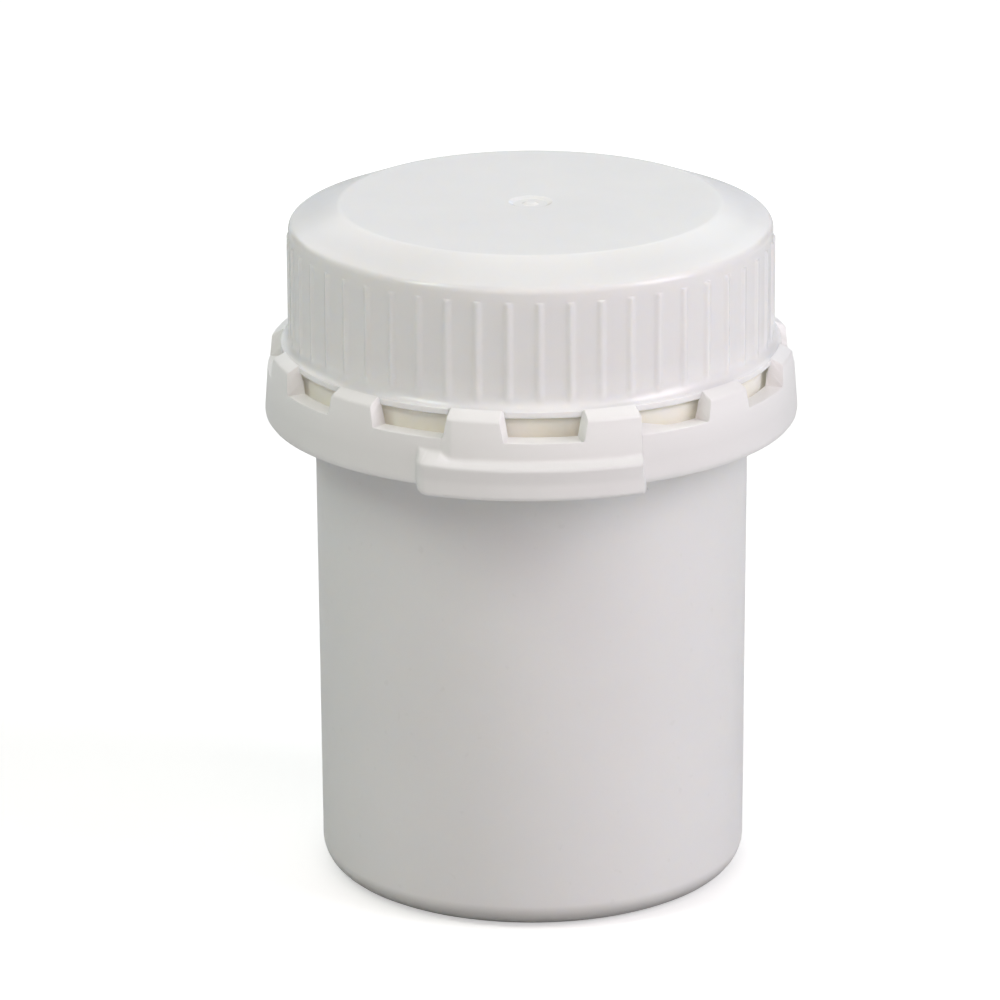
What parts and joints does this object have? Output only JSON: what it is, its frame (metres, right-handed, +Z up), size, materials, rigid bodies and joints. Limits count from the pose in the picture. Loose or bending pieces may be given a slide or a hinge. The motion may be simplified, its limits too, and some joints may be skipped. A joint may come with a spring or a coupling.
{
  "type": "screw-cap tablet jar",
  "caption": "Straight-sided wide-mouth tablet jar with a ribbed screw cap, sealing liner and a tear-off tamper strip with a pull tab.",
  "frame": {"origin": "centre of the jar's standing ring, on the surface it stands on", "axes": "+Z up along the jar's axis, -Y towards the pull tab and the front window of the tear strip, +X to the viewer's right"},
  "size_m": [0.0568, 0.0586, 0.0737],
  "materials": {
    "jar_hdpe": "satin blow-moulded white polyethylene",
    "cap_pp": "glossy injection-moulded white polypropylene",
    "strip_pe": "semi-gloss moulded white plastic, the same shot as the cap",
    "liner_board": "matt pulpboard wad"
  },
  "bodies": {
    "jar_body": {"jar": "jar_hdpe", "strip_anchor": "strip_pe"},
    "liner_body": {"liner": "liner_board"},
    "cap_body": {"cap": "cap_pp"},
    "strip_end": {"strip_end_block": "strip_pe", "pull_tab": "strip_pe"},
    "link_1": {"strip_link_01": "strip_pe"},
    "link_2": {"strip_link_02": "strip_pe"},
    "link_3": {"strip_link_03": "strip_pe"},
    "link_4": {"strip_link_04": "strip_pe"},
    "link_5": {"strip_link_05": "strip_pe"},
    "link_6": {"strip_link_06": "strip_pe"},
    "link_7": {"strip_link_07": "strip_pe"},
    "link_8": {"strip_link_08": "strip_pe"},
    "link_9": {"strip_link_09": "strip_pe"}
  },
  "joints": [
    {"name": "cap_lift", "type": "slide", "parent": "jar_body", "child": "liner_body", "axis": [0, 0, 1], "range_m": [0, 0.0126]},
    {"name": "cap_turn", "type": "hinge", "parent": "liner_body", "child": "cap_body", "pos_m": [0, 0, 0.06], "axis": [0, 0, 1], "range_deg": [0, 1080]},
    {"name": "strip_peel", "type": "hinge", "parent": "link_1", "child": "strip_end", "pos_m": [-0.01422, -0.02464, 0.0535], "axis": [0, 0, -1], "range_deg": [0, 30]},
    {"name": "strip_bend_02", "type": "hinge", "parent": "link_2", "child": "link_1", "pos_m": [-0.02464, -0.01422, 0.0535], "axis": [0, 0, -1], "range_deg": [0, 27.6]},
    {"name": "strip_bend_03", "type": "hinge", "parent": "link_3", "child": "link_2", "pos_m": [-0.02845, 0, 0.0535], "axis": [0, 0, -1], "range_deg": [0, 25.2]},
    {"name": "strip_bend_04", "type": "hinge", "parent": "link_4", "child": "link_3", "pos_m": [-0.02464, 0.01422, 0.0535], "axis": [0, 0, -1], "range_deg": [0, 22.8]},
    {"name": "strip_bend_05", "type": "hinge", "parent": "link_5", "child": "link_4", "pos_m": [-0.01422, 0.02464, 0.0535], "axis": [0, 0, -1], "range_deg": [0, 20.4]},
    {"name": "strip_bend_06", "type": "hinge", "parent": "link_6", "child": "link_5", "pos_m": [0, 0.02845, 0.0535], "axis": [0, 0, -1], "range_deg": [0, 18]},
    {"name": "strip_bend_07", "type": "hinge", "parent": "link_7", "child": "link_6", "pos_m": [0.01422, 0.02464, 0.0535], "axis": [0, 0, -1], "range_deg": [0, 15.6]},
    {"name": "strip_bend_08", "type": "hinge", "parent": "link_8", "child": "link_7", "pos_m": [0.02464, 0.01422, 0.0535], "axis": [0, 0, -1], "range_deg": [0, 13.2]},
    {"name": "strip_bend_09", "type": "hinge", "parent": "link_9", "child": "link_8", "pos_m": [0.02845, 0, 0.0535], "axis": [0, 0, -1], "range_deg": [0, 10.8]},
    {"name": "strip_bend_10", "type": "hinge", "parent": "jar_body", "child": "link_9", "pos_m": [0.02464, -0.01422, 0.0535], "axis": [0, 0, -1], "range_deg": [0, 8.4]}
  ],
  "couplings": [
    {"joint": "cap_lift", "follows": "cap_turn", "m_per_rad": 0.00066845},
    {"joint": "strip_bend_02", "follows": "strip_peel", "ratio": 0.92},
    {"joint": "strip_bend_03", "follows": "strip_peel", "ratio": 0.84},
    {"joint": "strip_bend_04", "follows": "strip_peel", "ratio": 0.76},
    {"joint": "strip_bend_05", "follows": "strip_peel", "ratio": 0.68},
    {"joint": "strip_bend_06", "follows": "strip_peel", "ratio": 0.6},
    {"joint": "strip_bend_07", "follows": "strip_peel", "ratio": 0.52},
    {"joint": "strip_bend_08", "follows": "strip_peel", "ratio": 0.44},
    {"joint": "strip_bend_09", "follows": "strip_peel", "ratio": 0.36},
    {"joint": "strip_bend_10", "follows": "strip_peel", "ratio": 0.28}
  ]
}
